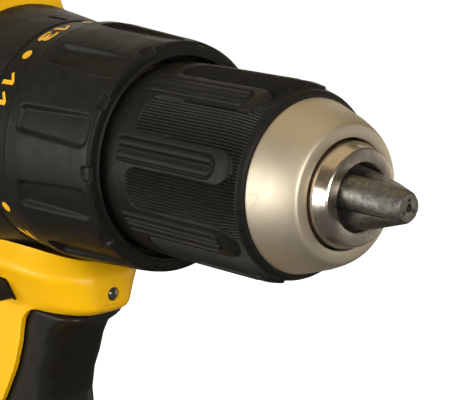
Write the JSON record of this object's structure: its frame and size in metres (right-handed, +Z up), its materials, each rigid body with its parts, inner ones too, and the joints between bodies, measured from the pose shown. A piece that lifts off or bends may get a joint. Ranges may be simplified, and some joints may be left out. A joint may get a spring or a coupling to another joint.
{
  "type": "cordless drill",
  "caption": "Pistol-grip cordless hammer drill with keyless chuck, clutch collar, trigger, speed selector and slide-on battery.",
  "frame": {"origin": "centre of the battery's flat underside, where the drill stands", "axes": "+X forward along the chuck axis, +Z up, +Y to the user's left"},
  "size_m": [0.2032, 0.076, 0.239],
  "materials": {
    "yellow_plastic": "satin moulded nylon",
    "black_plastic": "satin moulded nylon",
    "grip_rubber": "soft overmould",
    "dark_lens": "clear lens over a dark well",
    "satin_nickel": "satin nickel plate",
    "bright_steel": "turned and polished",
    "jaw_steel": "hardened, brushed",
    "gear_steel": "sintered",
    "dark_steel": "black oxide",
    "plated_steel": "zinc plated",
    "copper": "enamelled wire",
    "brass": "machined",
    "magnet": "ferrite",
    "carbon": "pressed carbon",
    "cell_wrap": "shrink wrap",
    "contact_copper": "tinned copper"
  },
  "bodies": {
    "frame": {"housing_left": "yellow_plastic", "housing_right": "yellow_plastic", "grip_left": "grip_rubber", "grip_right": "grip_rubber", "rear_cap": "black_plastic", "housing_screws": "dark_steel", "hook_inserts": "brass", "led_lens": "dark_lens", "switch_module": "black_plastic", "terminal_block": "black_plastic", "motor_can": "plated_steel", "field_magnets": "magnet", "end_bell": "black_plastic", "carbon_brushes": "carbon", "motor_bearings": "plated_steel", "gear_case": "black_plastic", "ring_gear": "gear_steel", "clutch_ring": "gear_steel", "clutch_balls": "bright_steel", "clutch_washer": "plated_steel", "clutch_spring": "plated_steel", "spindle_bearing": "plated_steel"},
    "rotor": {"rotor_shaft": "plated_steel", "armature_core": "plated_steel", "windings": "copper", "commutator": "contact_copper", "fan": "black_plastic"},
    "stage_1": {"carrier_1": "gear_steel"},
    "stage_2": {"carrier_2": "gear_steel"},
    "chuck": {"spindle": "plated_steel", "chuck_body": "bright_steel", "chuck_screw": "dark_steel"},
    "sleeve": {"chuck_sleeve": "black_plastic", "nose_ring": "satin_nickel", "chuck_nut": "dark_steel"},
    "jaw_1": {"jaw_1": "jaw_steel"},
    "jaw_2": {"jaw_2": "jaw_steel"},
    "jaw_3": {"jaw_3": "jaw_steel"},
    "collar": {"clutch_collar": "black_plastic"},
    "clutch_nut": {"clutch_nut": "brass"},
    "shifter": {"speed_selector": "black_plastic", "shift_wire": "plated_steel", "shift_ring": "gear_steel"},
    "trigger": {"trigger": "black_plastic"},
    "direction_button": {"direction_button": "black_plastic"},
    "battery": {"battery_base": "black_plastic", "battery_cover": "black_plastic", "battery_cells": "cell_wrap", "battery_terminals": "contact_copper", "battery_screws": "dark_steel"},
    "battery_latch": {"battery_latch": "black_plastic"},
    "planet_1a": {"planet_1a": "gear_steel"},
    "planet_1b": {"planet_1b": "gear_steel"},
    "planet_1c": {"planet_1c": "gear_steel"},
    "planet_2a": {"planet_2a": "gear_steel"},
    "planet_2b": {"planet_2b": "gear_steel"},
    "planet_2c": {"planet_2c": "gear_steel"},
    "planet_3a": {"planet_3a": "gear_steel"},
    "planet_3b": {"planet_3b": "gear_steel"},
    "planet_3c": {"planet_3c": "gear_steel"}
  },
  "joints": [
    {"name": "rotor_spin", "type": "hinge", "parent": "frame", "child": "rotor", "pos_m": [-0.015, 0, 0.204], "axis": [1, 0, 0], "continuous": true},
    {"name": "carrier_1_spin", "type": "hinge", "parent": "frame", "child": "stage_1", "pos_m": [0.017, 0, 0.204], "axis": [1, 0, 0], "continuous": true},
    {"name": "carrier_2_spin", "type": "hinge", "parent": "frame", "child": "stage_2", "pos_m": [0.029, 0, 0.204], "axis": [1, 0, 0], "continuous": true},
    {"name": "chuck_spin", "type": "hinge", "parent": "frame", "child": "chuck", "pos_m": [0.075, 0, 0.204], "axis": [1, 0, 0], "continuous": true},
    {"name": "planet_1a_spin", "type": "hinge", "parent": "stage_1", "child": "planet_1a", "pos_m": [0.012, 0, 0.1932], "axis": [1, 0, 0], "continuous": true},
    {"name": "planet_1b_spin", "type": "hinge", "parent": "stage_1", "child": "planet_1b", "pos_m": [0.012, 0.00935, 0.2094], "axis": [1, 0, 0], "continuous": true},
    {"name": "planet_1c_spin", "type": "hinge", "parent": "stage_1", "child": "planet_1c", "pos_m": [0.012, -0.00935, 0.2094], "axis": [1, 0, 0], "continuous": true},
    {"name": "planet_2a_spin", "type": "hinge", "parent": "stage_2", "child": "planet_2a", "pos_m": [0.0239, 0, 0.1932], "axis": [1, 0, 0], "continuous": true},
    {"name": "planet_2b_spin", "type": "hinge", "parent": "stage_2", "child": "planet_2b", "pos_m": [0.0239, 0.00935, 0.2094], "axis": [1, 0, 0], "continuous": true},
    {"name": "planet_2c_spin", "type": "hinge", "parent": "stage_2", "child": "planet_2c", "pos_m": [0.0239, -0.00935, 0.2094], "axis": [1, 0, 0], "continuous": true},
    {"name": "planet_3a_spin", "type": "hinge", "parent": "chuck", "child": "planet_3a", "pos_m": [0.0372, 0, 0.1932], "axis": [1, 0, 0], "continuous": true},
    {"name": "planet_3b_spin", "type": "hinge", "parent": "chuck", "child": "planet_3b", "pos_m": [0.0372, 0.00935, 0.2094], "axis": [1, 0, 0], "continuous": true},
    {"name": "planet_3c_spin", "type": "hinge", "parent": "chuck", "child": "planet_3c", "pos_m": [0.0372, -0.00935, 0.2094], "axis": [1, 0, 0], "continuous": true},
    {"name": "sleeve_twist", "type": "hinge", "parent": "chuck", "child": "sleeve", "pos_m": [0.085, 0, 0.204], "axis": [1, 0, 0], "range_deg": [0, 3600]},
    {"name": "jaw_1_slide", "type": "slide", "parent": "chuck", "child": "jaw_1", "axis": [-0.9724, -0.2022, 0.1167], "range_m": [0, 0.0278]},
    {"name": "jaw_2_slide", "type": "slide", "parent": "chuck", "child": "jaw_2", "axis": [-0.9724, 0, -0.2334], "range_m": [0, 0.0278]},
    {"name": "jaw_3_slide", "type": "slide", "parent": "chuck", "child": "jaw_3", "axis": [-0.9724, 0.2022, 0.1167], "range_m": [0, 0.0278]},
    {"name": "collar_twist", "type": "hinge", "parent": "frame", "child": "collar", "pos_m": [0.045, 0, 0.204], "axis": [1, 0, 0], "range_deg": [-240, 100]},
    {"name": "clutch_nut_slide", "type": "slide", "parent": "collar", "child": "clutch_nut", "axis": [1, 0, 0], "range_m": [-0.0029, 0.0013], "deforming": ["clutch_spring"]},
    {"name": "speed_shift", "type": "slide", "parent": "frame", "child": "shifter", "axis": [1, 0, 0], "range_m": [0, 0.005]},
    {"name": "trigger_pull", "type": "slide", "parent": "frame", "child": "trigger", "axis": [-1, 0, 0], "range_m": [0, 0.007], "stiffness_N_per_m": 900, "springref_m": -0.004},
    {"name": "direction_shift", "type": "slide", "parent": "frame", "child": "direction_button", "axis": [0, 1, 0], "range_m": [-0.003, 0.003]},
    {"name": "battery_slide", "type": "slide", "parent": "frame", "child": "battery", "axis": [1, 0, 0], "range_m": [0, 0.095]},
    {"name": "latch_press", "type": "slide", "parent": "battery", "child": "battery_latch", "axis": [0, 0, -1], "range_m": [0, 0.004], "stiffness_N_per_m": 700, "springref_m": -0.003}
  ],
  "couplings": [
    {"joint": "carrier_1_spin", "follows": "rotor_spin", "ratio": 0.22222},
    {"joint": "carrier_2_spin", "follows": "rotor_spin", "ratio": 0.049383},
    {"joint": "chuck_spin", "follows": "rotor_spin", "ratio": 0.010974},
    {"joint": "planet_1a_spin", "follows": "rotor_spin", "ratio": -0.62222},
    {"joint": "planet_1b_spin", "follows": "rotor_spin", "ratio": -0.62222},
    {"joint": "planet_1c_spin", "follows": "rotor_spin", "ratio": -0.62222},
    {"joint": "planet_2a_spin", "follows": "rotor_spin", "ratio": -0.13827},
    {"joint": "planet_2b_spin", "follows": "rotor_spin", "ratio": -0.13827},
    {"joint": "planet_2c_spin", "follows": "rotor_spin", "ratio": -0.13827},
    {"joint": "planet_3a_spin", "follows": "rotor_spin", "ratio": -0.030727},
    {"joint": "planet_3b_spin", "follows": "rotor_spin", "ratio": -0.030727},
    {"joint": "planet_3c_spin", "follows": "rotor_spin", "ratio": -0.030727},
    {"joint": "jaw_1_slide", "follows": "sleeve_twist", "m_per_rad": 0.00044086},
    {"joint": "jaw_2_slide", "follows": "sleeve_twist", "m_per_rad": 0.00044086},
    {"joint": "jaw_3_slide", "follows": "sleeve_twist", "m_per_rad": 0.00044086},
    {"joint": "clutch_nut_slide", "follows": "collar_twist", "m_per_rad": 0.00067}
  ]
}
